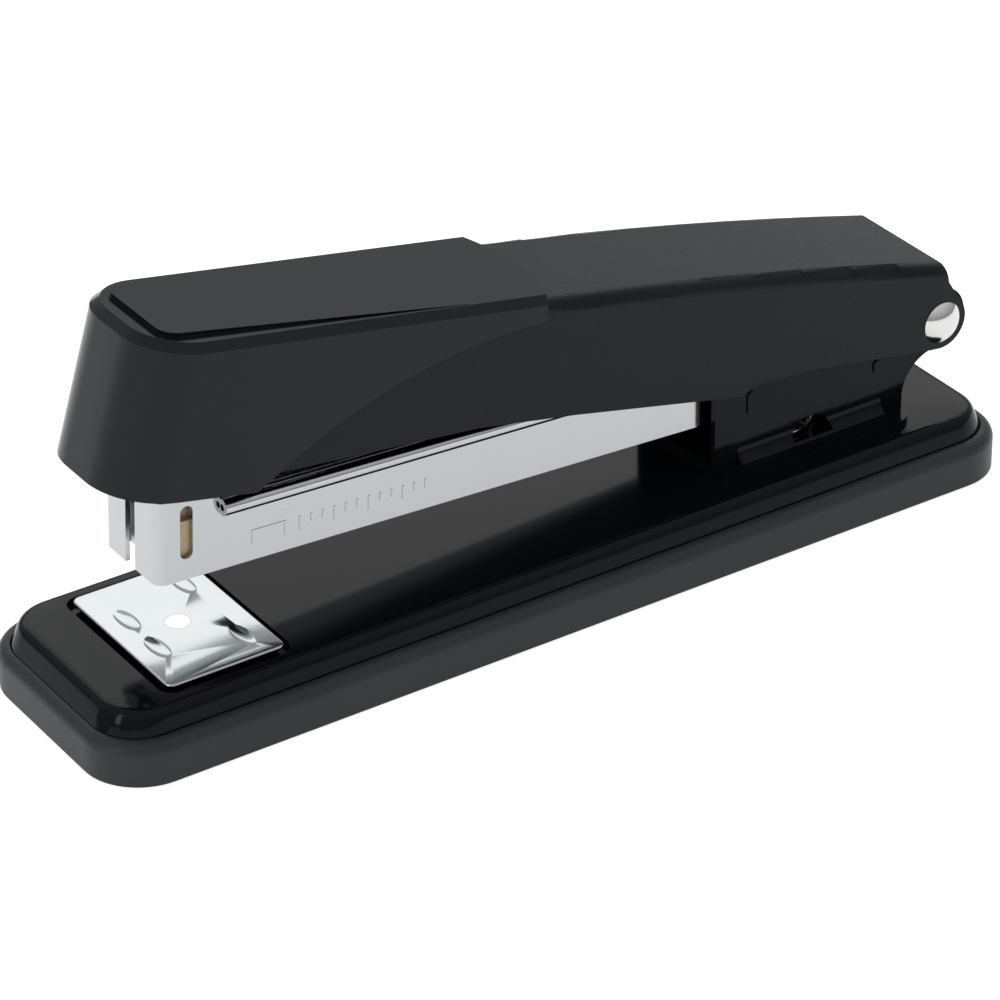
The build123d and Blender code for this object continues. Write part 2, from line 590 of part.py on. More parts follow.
def cover_cup():
    body = rod_z(CUP2_X, 0, (COVER_TOP, COVER_TOP + CUP2_HEIGHT), CUP2_D)
    return body - rod_z(CUP2_X, 0, (COVER_TOP + 0.6, COVER_TOP + 9), PRESS_SPRING_D + 0.4)


def plunger_low():
    """Height, in the magazine's frame, of the press spring's upper seat."""
    tilt = math.radians(MAG_TILT)
    x = PIN_X + CUP2_X * math.cos(tilt)
    drop = HANDLE_SHEET * 2
    height = top_height(x + PRESS_SPRING_D / 2) - drop - PIN_Z
    return (height + CUP2_X * math.sin(tilt)) / math.cos(tilt) - PLUNGER_HEIGHT


def press_spring():
    low, high = COVER_TOP + 0.6, plunger_low()
    return coil(PRESS_SPRING_D, PRESS_SPRING_WIRE, PRESS_SPRING_TURNS, (low, high), CUP2_X)


def spring_plunger():
    """Seat of the press spring under the handle."""
    low = plunger_low()
    body = in_magazine(rod_z(CUP2_X, 0, (low, low + 6), PRESS_SPRING_D + 1.6))
    return body - above_top(HANDLE_SHEET * 2)


# ---- handle and cap ------------------------------------------------------------------------
def above_top(drop):
    """Everything over the handle's top line lowered by drop."""
    lines = top_curve(-90, 90, drop)
    lines += Polyline((90, top_height(90) - drop), (90, 99), (-90, 99), (-90, top_height(-90) - drop))
    return slab(make_face(lines), (-40, 40))


def seam_zone():
    """Space that the cap takes: ahead of the seam, bounded by the cap's lower edge."""
    side = ThreePointArc(SEAM_REAR, SEAM_MID, SEAM_FRONT)
    side += Polyline(SEAM_FRONT, CAP_SIDE_BOTTOM, CAP_FRONT_BOTTOM, (-95, CAP_FRONT_BOTTOM[1]), (-95, 90),
                     (10, 90), (10, SEAM_REAR[1]), SEAM_REAR)
    zone = slab(make_face(side), (-40, 40))
    half = CAP_WIDTH / 2
    plan = ThreePointArc((SEAM_END, -half), (SEAM_END + SEAM_BULGE, 0), (SEAM_END, half))
    plan += Polyline((SEAM_END, half), (SEAM_END, 40), (-95, 40), (-95, -40), (SEAM_END, -40), (SEAM_END, -half))
    return zone & extrude(make_face(plan), 99)


def handle_outline(drop, rear, boss_r):
    """Side view of the handle's wall between its top and its lower edge."""
    front = -75.0
    boss_top = (PIN_X + boss_r * 0.71, PIN_Z + boss_r * 0.71)
    boss_low = (PIN_X - boss_r * 0.17, PIN_Z - boss_r * 0.985)
    lines = top_curve(rear, front, drop)
    lines += Polyline((front, top_height(front) - drop), (front, 44.0), SEAM_FRONT, *HANDLE_EDGE, boss_low)
    lines += ThreePointArc(boss_low, (PIN_X + boss_r * 0.94, PIN_Z - boss_r * 0.34), boss_top)
    lines += Polyline(boss_top, (rear + 0.4, PIN_Z + boss_r + 2.2), (rear, top_height(rear) - drop))
    return make_face(lines)


def handle_channel():
    half = HANDLE_WIDTH / 2
    body = slab(handle_outline(0, HANDLE_REAR, HANDLE_BOSS_R), (-half, half))
    body = fillet(body.edges().filter_by(GeomType.CIRCLE).group_by(SortBy.LENGTH)[-1], HANDLE_BEND)
    body -= slab(handle_outline(HANDLE_SHEET, HANDLE_REAR, HANDLE_BOSS_R), (-half, half)) & \
        block((-90, 60), (-HANDLE_IN, HANDLE_IN), (0, 90))
    body -= block((50, 90), (-HANDLE_IN, HANDLE_IN), (0, 90)) - above_top(HANDLE_SHEET)
    body -= seam_zone()
    body += tongue()
    return body - rod_y(PIN_X, PIN_Z, (-30, 30), PIN_HOLE_D)


def tongue():
    """The handle's joggled front, inside the cap."""
    front = TONGUE_FRONT - 2
    lines = top_curve(front, TONGUE_REAR, HANDLE_SHEET)
    lines += Polyline((TONGUE_REAR, top_height(TONGUE_REAR) - HANDLE_SHEET), (TONGUE_REAR, 35.0), (-20.0, 37.0),
                      (-45.0, 41.0), (front, 43.5), (front, top_height(front) - HANDLE_SHEET))
    body = slab(make_face(lines), (-HANDLE_IN, HANDLE_IN))
    inner = HANDLE_IN - HANDLE_SHEET
    space = block((-90, 60), (-inner, inner), (0, 90)) - above_top(2 * HANDLE_SHEET)
    plan = RectangleRounded(2 * (TONGUE_REAR - TONGUE_FRONT), 2 * HANDLE_IN, TONGUE_CORNER)
    return (body - space) & extrude(Pos(TONGUE_REAR, 0, 0) * plan, 90)


def cap_height(x):
    """Height of the cap's upper edge over x."""
    return CAP_EDGE_Z - CAP_EDGE_SLOPE * x


def cap_shape(inset, top):
    """Closed form of the cap, its sides and front moved in by inset."""
    lean = (CAP_FRONT_TOP - CAP_FRONT_BOTTOM[0]) / (cap_height(CAP_FRONT_TOP) - CAP_FRONT_BOTTOM[1])
    x_low = CAP_FRONT_BOTTOM[0] + inset - lean * 8
    z_low = CAP_FRONT_BOTTOM[1] - 8
    x_top = CAP_FRONT_TOP + inset
    lines = Polyline((x_top, cap_height(x_top) + top), (CAP_STOCK, cap_height(CAP_STOCK) + top),
                     (CAP_STOCK, z_low), (x_low, z_low), (x_top, cap_height(x_top) + top))
    half = CAP_WIDTH / 2 - inset
    body = slab(make_face(lines), (-half, half))
    front = body.faces().sort_by(Axis.X)[0]
    sides = [e for e in front.edges() if abs((e @ 0).Y - (e @ 1).Y) < 0.01]
    return fillet(sides, CAP_CORNER - inset)


def cap():
    body = cap_shape(0, CAP_SHOULDER)
    face = body.faces().sort_by(Axis.Z)[-1]
    rim = face.edges().filter_by(lambda e: e.center().X < CAP_STOCK - 0.1)
    body = chamfer(rim, CAP_SHOULDER)
    body += pad()
    return (body - cap_inside()) & seam_zone()


def cap_inside():
    """Hollow of the cap: it fits over the tongue with SEAT_GAP."""
    return cap_shape(CAP_WALL, CAP_SHOULDER) - above_top(HANDLE_SHEET - SEAT_GAP)


def pad():
    """Raised, round-cornered field on the cap's top."""
    front = CAP_WIDTH / 2 - PAD_INSET
    rear = CAP_WIDTH / 2 - CAP_SHOULDER - 0.2
    corners = [(PAD_FRONT, -front), (PAD_REAR, -rear), (PAD_REAR, rear), (PAD_FRONT, front)]
    plan = make_face(Polyline(*corners, close=True))
    plan = fillet(plan.vertices().group_by(Axis.X)[0], PAD_CORNER)
    low = CAP_SHOULDER - 1
    side = Polyline((PAD_FRONT - 1, cap_height(PAD_FRONT - 1) + CAP_SHOULDER + PAD_PROUD),
                    (PAD_REAR, cap_height(PAD_REAR) + CAP_SHOULDER + 0.05), (PAD_REAR, cap_height(PAD_REAR) + low),
                    (PAD_FRONT - 1, cap_height(PAD_FRONT - 1) + low), close=True)
    return extrude(plan, 90) & slab(make_face(side), (-20, 20))


def holder_top():
    """Height of the tongue's underside over the driver, in the magazine's frame."""
    tilt = math.radians(MAG_TILT)
    x = LIP_BACK + BLADE_FRONT
    world_x = PIN_X + x * math.cos(tilt) + 20 * math.sin(tilt)
    return (top_height(world_x) - 2 * HANDLE_SHEET - PIN_Z + x * math.sin(tilt)) / math.cos(tilt)


def driver_blade():
    x = LIP_BACK + BLADE_FRONT
    half = BLADE_WIDTH / 2
    return block((x, x + BLADE_SHEET), (-half, half), (BLADE_BOTTOM, BLADE_TOP)) - driver_rivet_holes()


def driver_holder():
    """Angle plate that carries the blade under the handle's front."""
    x = LIP_BACK + BLADE_FRONT + BLADE_SHEET
    half = HOLDER_WIDTH / 2
    high = holder_top()
    body = block((x, x + HOLDER_SHEET), (-half, half), (HOLDER_BOTTOM, high + 3))
    body += block((x, x + HOLDER_FLANGE), (-half, half), (high - 3.4, high + 3))
    body -= driver_rivet_holes()
    body = in_magazine(body) - above_top(2 * HANDLE_SHEET)
    lower = in_magazine(block((x + HOLDER_SHEET, x + 30), (-20, 20), (0, 60)))
    return body - (lower - above_top(2 * HANDLE_SHEET + HOLDER_SHEET))


def rod_x(z, x, d):
    """Cylinder along X at the height z, between the places in x."""
    return Pos((x[0] + x[1]) / 2, 0, z) * Rot(0, 90, 0) * Cylinder(d / 2, x[1] - x[0])


def driver_rivet_holes():
    holes = [rod_x(z, (MAG_NOSE, 0), DRIVER_RIVET_D) for z in DRIVER_RIVETS]
    return holes[0] + holes[1]


def driver_rivets():
    """Rivets through the blade and its holder, flush at the blade's front."""
    front = LIP_BACK + BLADE_FRONT
    back = front + BLADE_SHEET + HOLDER_SHEET
    rivets = []
    for z in DRIVER_RIVETS:
        rivet = rod_x(z, (front, back), DRIVER_RIVET_D)
        rivets.append(rivet + rod_x(z, (back, back + DRIVER_RIVET_HEAD), DRIVER_RIVET_HEAD_D))
    return Compound(children=rivets)


def build():
    os.makedirs("parts", exist_ok=True)
    save("sole", sole())
    save("base_plate", base_plate())
    save("hinge_bracket", hinge_bracket())
    save("bracket_rivets", bracket_rivets())
    save("spring_cup", spring_cup())
    save("return_spring", return_spring())
    save("hinge_pin", hinge_pin())
    save("pin_spacers", pin_spacers())
    save("anvil_plate", anvil_plate())
    save("anvil_stem", anvil_stem())
    save("anvil_button", anvil_button())
    save("anvil_bush", anvil_bush())
    save("anvil_spring", anvil_spring())
    save("magazine_channel", in_magazine(magazine_channel()))
    save("staple_rail", in_magazine(staple_rail()))
    save("rear_block", in_magazine(rear_block()))
    save("guide_rod", in_magazine(guide_rod()))
    save("rod_stop", in_magazine(rod_stop()))
    save("pusher", in_magazine(pusher()))
    save("pusher_spring", in_magazine(pusher_spring()))
    save("magazine_saddle", in_magazine(magazine_saddle()))
    save("staple_cover", in_magazine(staple_cover()))
    save("cover_cup", in_magazine(cover_cup()))
    save("press_spring", in_magazine(press_spring()))
    save("spring_plunger", spring_plunger())
    save("handle_channel", handle_channel())
    save("cap", cap())
    save("driver_blade", in_magazine(driver_blade()))
    save("driver_holder", driver_holder())
    save("driver_rivets", in_magazine(driver_rivets()))
    save("saddle_rivets", in_magazine(saddle_rivets()))
    save("cover_bush", in_magazine(cover_bush()))


build()
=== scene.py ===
"""Full-strip desktop stapler: finishes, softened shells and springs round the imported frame."""
import bpy
import json
import math
from mathutils import Matrix, Vector


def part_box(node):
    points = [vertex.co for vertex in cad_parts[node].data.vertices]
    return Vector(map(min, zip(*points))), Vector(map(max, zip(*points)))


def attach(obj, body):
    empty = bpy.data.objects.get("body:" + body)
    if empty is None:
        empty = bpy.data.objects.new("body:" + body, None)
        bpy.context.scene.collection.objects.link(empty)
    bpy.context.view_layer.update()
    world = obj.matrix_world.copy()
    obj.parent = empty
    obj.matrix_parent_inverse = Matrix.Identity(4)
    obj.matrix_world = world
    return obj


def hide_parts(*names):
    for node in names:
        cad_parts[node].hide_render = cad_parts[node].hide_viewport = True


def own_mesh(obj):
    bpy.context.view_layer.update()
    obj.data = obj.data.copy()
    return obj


bl_info = {
    "name": "Desktop Stapler",
    "version": (1, 0, 0),
    "blender": (4, 5, 0),
    "location": "View3D > Sidebar > Stapler",
    "description": "Builds the finishes and fine pieces of a full-strip desktop stapler",
    "category": "Object",
}

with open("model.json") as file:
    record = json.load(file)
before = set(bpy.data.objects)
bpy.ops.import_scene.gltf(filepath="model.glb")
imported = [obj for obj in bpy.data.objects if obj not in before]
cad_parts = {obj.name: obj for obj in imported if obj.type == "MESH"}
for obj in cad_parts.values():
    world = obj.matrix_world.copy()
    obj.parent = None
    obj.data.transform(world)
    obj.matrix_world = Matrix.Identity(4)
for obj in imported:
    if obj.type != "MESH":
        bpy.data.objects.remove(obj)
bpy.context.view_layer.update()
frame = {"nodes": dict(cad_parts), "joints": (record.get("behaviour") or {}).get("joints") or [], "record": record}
JOINTS = {joint["name"]: joint for joint in frame["joints"]}
MAGAZINE_AXIS = Vector(JOINTS["pusher_slide"]["axis"]).normalized()
MAGAZINE_UP = Vector((-MAGAZINE_AXIS.z, 0, MAGAZINE_AXIS.x))
UP = Vector((0, 0, 1))

# CAD nodes that get a softened copy, with their share of the edge break
SHELLS = (
    ("sole", 1.0), ("base_plate", 0.8), ("hinge_bracket", 1.0), ("cap", 1.2),
    ("magazine_channel", 0.7), ("staple_cover", 0.7), ("anvil_plate", 0.5), ("pusher", 0.8),
    ("magazine_saddle", 0.8),
)
EDGE_SEGMENTS = 2
SHARP_ANGLE = math.radians(24.0)    # edges sharper than this are broken, the rest shade smooth
FLAT_ANGLE = math.radians(0.02)     # facets that meet flatter than this become one
WELD = 0.000002                     # points closer than this become one

RETURN_TURNS = 5.5
ANVIL_TURNS = 2.8
PRESS_TURNS = 6.5
PUSHER_TURNS = 46

FINE_BUMP = 0.0001                  # height of grain and drawn lines at full depth
SLOW_BUMP = 0.001                   # height of the slow waviness at full depth
MIX_FIRST, MIX_SECOND, MIX_RESULT = 6, 7, 2    # colour sockets of the Mix node

SKY_STRENGTH = 0.78
SKY_HORIZON = (0.40, 0.41, 0.43, 1)
SKY_OVERHEAD = (1.0, 1.0, 1.0, 1)
SKY_RISE = 0.55                     # height on the sky where it reaches its overhead tone
FLOOR_SIZE = 12.0
FLOOR_DROP = 0.0002                 # floor below the sole
FLOOR_TONE = (0.70, 0.70, 0.70, 1)
FLOOR_GLOW = 0.70
# name, place, target, size and power of each light
LIGHTS = (
    ("overhead_softbox", (0.45, 0.75, 0.75), (0, 0, 0.03), (1.5, 0.7), 3.6),
    ("left_fill", (-1.2, -0.2, 0.5), (-0.05, 0, 0.04), (0.25, 0.8), 3.0),
)
CAMERA_LENS = 160.344
CAMERA_SENSOR = 36.0
CAMERA_NEAR = 0.01
CAMERA_TARGET = (-0.002447, -0.000142, 0.012116)
CAMERA_DISTANCE = 0.6524
CAMERA_AZIMUTH = -33.33
CAMERA_ELEVATION = 30.80
CAMERA_ROLL = -0.80


# ---- settings ------------------------------------------------------------------------------
class StaplerFinishes(bpy.types.PropertyGroup):
    """Colours of the stapler's finishes."""
    handle_colour: bpy.props.FloatVectorProperty(
        name="Handle enamel", description="Satin enamel of the handle",
        subtype="COLOR", size=3, min=0, max=1, default=(0.0056, 0.0078, 0.0100))
    cap_colour: bpy.props.FloatVectorProperty(
        name="Cap plastic", description="Polished plastic of the cap over the nose",
        subtype="COLOR", size=3, min=0, max=1, default=(0.0046, 0.0066, 0.0090))
    base_colour: bpy.props.FloatVectorProperty(
        name="Base enamel", description="Gloss enamel of the base plate and the hinge bracket",
        subtype="COLOR", size=3, min=0, max=1, default=(0.0022, 0.0030, 0.0042))
    sole_colour: bpy.props.FloatVectorProperty(
        name="Sole plastic", description="Satin moulded plastic of the sole",
        subtype="COLOR", size=3, min=0, max=1, default=(0.0240, 0.0262, 0.0290))
    pusher_colour: bpy.props.FloatVectorProperty(
        name="Pusher plastic", description="Cream plastic of the staple pusher",
        subtype="COLOR", size=3, min=0, max=1, default=(0.52, 0.40, 0.24))


class StaplerSizes(bpy.types.PropertyGroup):
    """Sizes of the fine pieces."""
    edge_break: bpy.props.FloatProperty(
        name="Edge break", description="Width of the broken edge on pressed sheet",
        default=0.00022, min=0, max=0.001, unit="LENGTH")
    return_wire: bpy.props.FloatProperty(
        name="Return spring wire", description="Wire diameter of the spring under the magazine",
        default=0.0009, min=0.0003, max=0.002, unit="LENGTH")
    press_wire: bpy.props.FloatProperty(
        name="Press spring wire", description="Wire diameter of the spring under the handle",
        default=0.0011, min=0.0003, max=0.002, unit="LENGTH")
    anvil_wire: bpy.props.FloatProperty(
        name="Anvil spring wire", description="Wire diameter of the spring over the anvil's button",
        default=0.0006, min=0.0003, max=0.002, unit="LENGTH")
    pusher_wire: bpy.props.FloatProperty(
        name="Pusher spring wire", description="Wire diameter of the spring behind the pusher",
        default=0.0005, min=0.0003, max=0.001, unit="LENGTH")


# ---- shader helpers ------------------------------------------------------------------------
def new_group(name, inputs, outputs):
    """Shader node group with its sockets; returns the group, its input node and its output node."""
    group = bpy.data.node_groups.new(name, "ShaderNodeTree")
    for label, kind, value in inputs:
        socket = group.interface.new_socket(label, in_out="INPUT", socket_type=kind)
        socket.default_value = value
    for label, kind in outputs:
        group.interface.new_socket(label, in_out="OUTPUT", socket_type=kind)
    return group, group.nodes.new("NodeGroupInput"), group.nodes.new("NodeGroupOutput")


def link(tree, a, b):
    tree.links.new(a, b)


def surface_group():
    """Fine grain, slow waviness and handling marks: gives a normal and a change of roughness."""
    group, start, end = new_group("worked_surface", (
        ("Grain per metre", "NodeSocketFloat", 4000.0), ("Grain depth", "NodeSocketFloat", 0.1),
        ("Wave per metre", "NodeSocketFloat", 60.0), ("Wave depth", "NodeSocketFloat", 0.02),
        ("Roughness", "NodeSocketFloat", 0.3), ("Handling", "NodeSocketFloat", 0.05)),
        (("Normal", "NodeSocketVector"), ("Roughness", "NodeSocketFloat")))
    place = group.nodes.new("ShaderNodeTexCoord")
    grain = group.nodes.new("ShaderNodeTexNoise")
    grain.inputs["Detail"].default_value = 2.0
    link(group, place.outputs["Object"], grain.inputs["Vector"])
    link(group, start.outputs["Grain per metre"], grain.inputs["Scale"])
    wave = group.nodes.new("ShaderNodeTexNoise")
    wave.inputs["Detail"].default_value = 1.0
    link(group, place.outputs["Object"], wave.inputs["Vector"])
    link(group, start.outputs["Wave per metre"], wave.inputs["Scale"])
    wavy = group.nodes.new("ShaderNodeBump")
    wavy.inputs["Distance"].default_value = SLOW_BUMP
    link(group, start.outputs["Wave depth"], wavy.inputs["Strength"])
    link(group, wave.outputs["Fac"], wavy.inputs["Height"])
    grainy = group.nodes.new("ShaderNodeBump")
    grainy.inputs["Distance"].default_value = FINE_BUMP
    link(group, start.outputs["Grain depth"], grainy.inputs["Strength"])
    link(group, grain.outputs["Fac"], grainy.inputs["Height"])
    link(group, wavy.outputs["Normal"], grainy.inputs["Normal"])
    marks = group.nodes.new("ShaderNodeTexNoise")
    marks.inputs["Scale"].default_value = 45.0
    marks.inputs["Detail"].default_value = 6.0
    marks.inputs["Roughness"].default_value = 0.65
    link(group, place.outputs["Object"], marks.inputs["Vector"])
    centred = group.nodes.new("ShaderNodeMath")
    centred.operation = "SUBTRACT"
    centred.inputs[1].default_value = 0.5
    link(group, marks.outputs["Fac"], centred.inputs[0])
    rough = group.nodes.new("ShaderNodeMath")
    rough.operation = "MULTIPLY_ADD"
    rough.use_clamp = True
    link(group, centred.outputs[0], rough.inputs[0])
    link(group, start.outputs["Handling"], rough.inputs[1])
    link(group, start.outputs["Roughness"], rough.inputs[2])
    link(group, grainy.outputs["Normal"], end.inputs["Normal"])
    link(group, rough.outputs[0], end.inputs["Roughness"])
    return group


def brushing_group():
    """Fine drawing lines along a direction: gives a normal."""
    group, start, end = new_group("drawn_lines", (
        ("Stretch", "NodeSocketVector", (20.0, 2500.0, 2500.0)), ("Depth", "NodeSocketFloat", 0.05),
        ("Normal", "NodeSocketVector", (0.0, 0.0, 0.0))),
        (("Normal", "NodeSocketVector"),))
    place = group.nodes.new("ShaderNodeTexCoord")
    turned = group.nodes.new("ShaderNodeVectorMath")
    turned.operation = "MULTIPLY"
    link(group, place.outputs["Object"], turned.inputs[0])
    link(group, start.outputs["Stretch"], turned.inputs[1])
    lines = group.nodes.new("ShaderNodeTexNoise")
    lines.inputs["Scale"].default_value = 1.0
    lines.inputs["Detail"].default_value = 3.0
    link(group, turned.outputs[0], lines.inputs["Vector"])
    bump = group.nodes.new("ShaderNodeBump")
    bump.inputs["Distance"].default_value = FINE_BUMP
    link(group, start.outputs["Depth"], bump.inputs["Strength"])
    link(group, lines.outputs["Fac"], bump.inputs["Height"])
    link(group, start.outputs["Normal"], bump.inputs["Normal"])
    link(group, bump.outputs["Normal"], end.inputs["Normal"])
    return group


def tint_group():
    """A colour that drifts a little between two tones over the surface."""
    group, start, end = new_group("tone_drift", (
        ("Tone", "NodeSocketColor", (0.5, 0.5, 0.5, 1)),
        ("Second tone", "NodeSocketColor", (0.5, 0.5, 0.5, 1)),
        ("Patches per metre", "NodeSocketFloat", 80.0)), (("Color", "NodeSocketColor"),))
    place = group.nodes.new("ShaderNodeTexCoord")
    patches = group.nodes.new("ShaderNodeTexNoise")
    patches.inputs["Detail"].default_value = 4.0
    link(group, place.outputs["Object"], patches.inputs["Vector"])
    link(group, start.outputs["Patches per metre"], patches.inputs["Scale"])
    mix = group.nodes.new("ShaderNodeMix")
    mix.data_type = "RGBA"
    link(group, patches.outputs["Fac"], mix.inputs["Factor"])
    link(group, start.outputs["Tone"], mix.inputs[MIX_FIRST])
    link(group, start.outputs["Second tone"], mix.inputs[MIX_SECOND])
    link(group, mix.outputs[MIX_RESULT], end.inputs["Color"])
    return group


GROUPS = {}


def group_node(tree, name, maker, **values):
    """Place a shared group in a material, with its own values."""
    if name not in GROUPS:
        GROUPS[name] = maker()
    node = tree.nodes.new("ShaderNodeGroup")
    node.node_tree = GROUPS[name]
    for label, value in values.items():
        node.inputs[label.replace("_", " ")].default_value = value
    return node


def finish_material(name, tone, second, worked, drawn=None, **shader_values):
    """Material with a drifting tone, a worked surface and, on drawn metal, its lines."""
    material = bpy.data.materials.new(name)
    material.use_nodes = True
    tree = material.node_tree
    shader = tree.nodes["Principled BSDF"]
    for label, value in shader_values.items():
        shader.inputs[label.replace("_", " ")].default_value = value
    drift = group_node(tree, "tone_drift", tint_group)
    drift.inputs["Tone"].default_value = (*tone, 1)
    drift.inputs["Second tone"].default_value = (*second, 1)
    link(tree, drift.outputs["Color"], shader.inputs["Base Color"])
    work = group_node(tree, "worked_surface", surface_group, **worked)
    link(tree, work.outputs["Roughness"], shader.inputs["Roughness"])
    if drawn:
        lines = group_node(tree, "drawn_lines", brushing_group, **drawn)
        link(tree, work.outputs["Normal"], lines.inputs["Normal"])
        link(tree, lines.outputs["Normal"], shader.inputs["Normal"])
    else:
        link(tree, work.outputs["Normal"], shader.inputs["Normal"])
    return material


def scaled(colour, factor):
    return tuple(c * factor for c in colour)


def surface(grain, depth, wave, wave_depth, roughness, handling):
    """Values of the worked_surface group, by socket."""
    return {"Grain_per_metre": grain, "Grain_depth": depth,
            "Wave_per_metre": wave, "Wave_depth": wave_depth,
            "Roughness": roughness, "Handling": handling}


def make_finishes():
    """One material for each finish slot of the record."""
    colours = bpy.context.scene.stapler_finishes
    handle, cap = tuple(colours.handle_colour), tuple(colours.cap_colour)
    base, sole = tuple(colours.base_colour), tuple(colours.sole_colour)
    cream = tuple(colours.pusher_colour)
    silver, warm = (0.445, 0.465, 0.475), (0.62, 0.60, 0.55)
    fine = {"Stretch": (25.0, 1800.0, 1800.0), "Depth": 0.04}
    return {
        "sole_plastic": finish_material(
            "sole_plastic", sole, scaled(sole, 0.8), surface(2600, 0.5, 40, 0.02, 0.42, 0.12),
            Specular_IOR_Level=0.20),
        "black_enamel": finish_material(
            "black_enamel", base, scaled(base, 1.3), surface(900, 0.02, 70, 0.012, 0.10, 0.05),
            Specular_IOR_Level=0.10),
        "satin_enamel": finish_material(
            "satin_enamel", handle, scaled(handle, 0.86), surface(3200, 0.6, 50, 0.02, 0.36, 0.06),
            Specular_IOR_Level=0.13),
        "cap_plastic": finish_material(
            "cap_plastic", cap, scaled(cap, 0.9), surface(1500, 0.02, 30, 0.02, 0.12, 0.06),
            Specular_IOR_Level=0.19),
        "chrome": finish_material(
            "chrome", silver, scaled(silver, 0.96), surface(1500, 0.03, 60, 0.03, 0.13, 0.06),
            fine, Metallic=1.0),
        "nickel": finish_material(
            "nickel", (0.62, 0.62, 0.60), (0.56, 0.56, 0.54),
            surface(1500, 0.03, 80, 0.03, 0.12, 0.08), Metallic=1.0),
        "zinc": finish_material(
            "zinc", (0.60, 0.61, 0.62), (0.52, 0.53, 0.55),
            surface(2500, 0.15, 80, 0.03, 0.33, 0.15), fine, Metallic=1.0),
        "spring_steel": finish_material(
            "spring_steel", warm, scaled(warm, 0.9), surface(2500, 0.08, 80, 0.02, 0.22, 0.10),
            Metallic=1.0),
        "pusher_plastic": finish_material(
            "pusher_plastic", cream, scaled(cream, 0.88), surface(2200, 0.3, 60, 0.03, 0.45, 0.1)),
        "knob_plastic": finish_material(
            "knob_plastic", (0.018, 0.018, 0.019), (0.014, 0.014, 0.015),
            surface(2600, 0.4, 60, 0.03, 0.45, 0.1), Specular_IOR_Level=0.45),
    }


FINISHES = {}


def finish(slot):
    """Material of a finish slot."""
    if not FINISHES:
        FINISHES.update(make_finishes())
    return FINISHES[slot]


def slot_of(node):
    """Material slot that the record gives a CAD node."""
    for part in frame["record"]["subparts"]:
        if part["node"] == node:
            return part["material_slot"]
    raise RuntimeError("no material slot for " + node)


def body_of(node):
    """Moving body that the record puts a CAD node in."""
    for body, nodes in frame["record"]["behaviour"]["bodies"].items():
        if node in nodes:
            return body
    raise RuntimeError("no body for " + node)


# ---- modelling helpers ---------------------------------------------------------------------
def select_only(piece):
    for other in bpy.context.selected_objects:
        other.select_set(False)
    piece.select_set(True)
    bpy.context.view_layer.objects.active = piece


def settle(piece, name, slot, node):
    """Name a finished piece, give it its finish and the body of the node it stands for, and hide that node."""
    select_only(piece)
    bpy.ops.object.transform_apply(location=True, rotation=True, scale=True)
    piece.name = name
    piece.data.name = name
    piece.data.materials.clear()
    piece.data.materials.append(finish(slot))
    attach(piece, body_of(node))
    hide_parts(node)
    return piece


def softened(node, width):
    """Copy of a CAD node with its flat facets merged and its sharp edges broken."""
    mesh = frame["nodes"][node].data.copy()
    piece = bpy.data.objects.new(node + "_shell", mesh)
    bpy.context.scene.collection.objects.link(piece)
    select_only(piece)
    bpy.ops.object.mode_set(mode="EDIT")
    bpy.ops.mesh.select_all(action="SELECT")
    bpy.ops.mesh.customdata_custom_splitnormals_clear()
    bpy.ops.mesh.remove_doubles(threshold=WELD)
    bpy.ops.mesh.dissolve_limited(angle_limit=FLAT_ANGLE)
    bpy.ops.object.mode_set(mode="OBJECT")
    bpy.ops.object.shade_smooth_by_angle(angle=SHARP_ANGLE)
    bevel = piece.modifiers.new("edge_break", "BEVEL")
    bevel.width = width
    bevel.segments = EDGE_SEGMENTS
    bevel.limit_method = "ANGLE"
    bevel.angle_limit = SHARP_ANGLE
    bevel.miter_outer = "MITER_ARC"
    bevel.use_clamp_overlap = True
    bevel.harden_normals = True
    bpy.ops.object.modifier_apply(modifier="edge_break")
    settle(piece, node + "_shell", slot_of(node), node)


def wire_spring(node, outside, wire, turns, start, axis, length, side, steps):
    """Round-wire helix that stands for a CAD spring.

    It runs from start along axis. side is the corners round the wire, steps the ones in a turn.
    """
    radius = (outside - wire) / 2
    bpy.ops.mesh.primitive_circle_add(
        vertices=side, radius=wire / 2,
        location=(radius, 0, wire / 2), rotation=(math.pi / 2, 0, 0))
    piece = bpy.context.object
    bpy.ops.object.transform_apply(location=True, rotation=True, scale=True)
    screw = piece.modifiers.new("winding", "SCREW")
    screw.axis = "Z"
    screw.angle = 2 * math.pi * turns
    screw.screw_offset = length - wire
    screw.steps = int(turns * steps)
    screw.render_steps = int(turns * steps)
    screw.use_smooth_shade = True
    screw.use_merge_vertices = False
    bpy.ops.object.modifier_apply(modifier="winding")
    bpy.ops.object.mode_set(mode="EDIT")
    bpy.ops.mesh.select_all(action="SELECT")
    bpy.ops.mesh.select_non_manifold(extend=False)
    bpy.ops.mesh.edge_face_add()
    bpy.ops.mesh.select_all(action="SELECT")
    bpy.ops.mesh.normals_make_consistent(inside=False)
    bpy.ops.object.mode_set(mode="OBJECT")
    turn = UP.rotation_difference(axis).to_matrix().to_4x4()
    piece.matrix_world = Matrix.Translation(start) @ turn
    return settle(piece, node + "_wire", "spring_steel", node)


def corners(node):
    """Lowest and highest corner of a CAD node's box."""
    low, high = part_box(node)
    return Vector(low), Vector(high)


def upright_spring(node, wire, turns, side, steps):
    """Spring that fills its CAD node's box from the bottom up; returns it and its foot."""
    low, high = corners(node)
    middle = (low + high) / 2
    foot = Vector((middle.x, middle.y, low.z))
    spring = wire_spring(node, high.x - low.x, wire, turns, foot, UP, high.z - low.z, side, steps)
    return spring, foot


